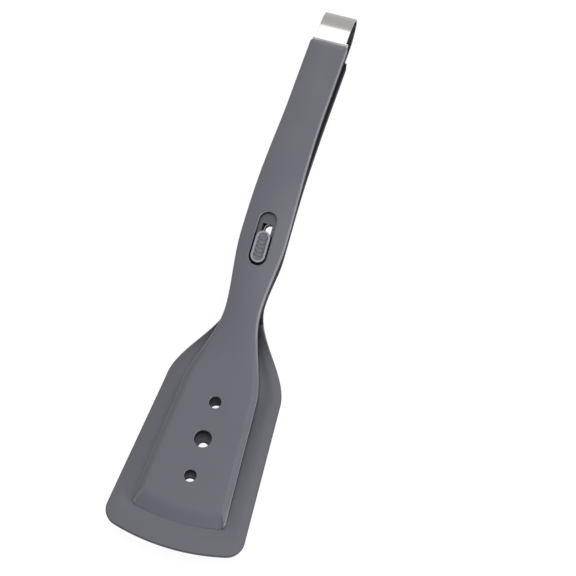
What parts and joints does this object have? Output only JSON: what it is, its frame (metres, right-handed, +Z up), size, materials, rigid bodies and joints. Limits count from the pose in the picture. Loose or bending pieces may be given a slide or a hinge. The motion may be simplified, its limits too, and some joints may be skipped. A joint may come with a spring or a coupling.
{
  "type": "spatula tongs",
  "caption": "Slim kitchen tongs of two offset turner blades, a wide lower one and a narrower upper one, on slender arms joined by a bowed steel band, with a sliding thumb lock.",
  "frame": {"origin": "middle of the bounding box's underside, with the closed tongs lying on a table", "axes": "+Y runs along the tongs from the blade tips to the band's bow, +X across the blades, +Z up from the table"},
  "size_m": [0.0786, 0.3354, 0.0392],
  "materials": {
    "soft_grey": "smooth satin slate grey",
    "dark_nylon": "dark grey filled nylon",
    "button_grey": "satin slate grey",
    "bright_steel": "satin stainless strip",
    "screw_steel": "turned stainless"
  },
  "bodies": {
    "lower_arm": {"lower_arm_skin": "soft_grey", "lower_arm_core": "dark_nylon", "lower_band_rivet_rear": "screw_steel", "lower_band_rivet_front": "screw_steel", "lock_catch": "bright_steel", "catch_screw_front": "screw_steel", "catch_screw_rear": "screw_steel", "spring_band": "bright_steel"},
    "upper_arm": {"upper_arm_skin": "soft_grey", "upper_arm_core": "dark_nylon", "upper_band_rivet_rear": "screw_steel", "upper_band_rivet_front": "screw_steel"},
    "lock_slider": {"lock_button": "button_grey", "lock_hook": "dark_nylon", "lock_screw": "screw_steel", "detent_spring": "bright_steel"}
  },
  "joints": [
    {"name": "arm_opening", "type": "hinge", "parent": "lower_arm", "child": "upper_arm", "pos_m": [0, 0.1591, 0.00909], "axis": [-1, 0, 0], "range_deg": [0, 22], "deforming": ["spring_band"]},
    {"name": "lock_slide", "type": "slide", "parent": "upper_arm", "child": "lock_slider", "axis": [0, 0.9859, 0.1672], "range_m": [0, 0.0105]}
  ]
}
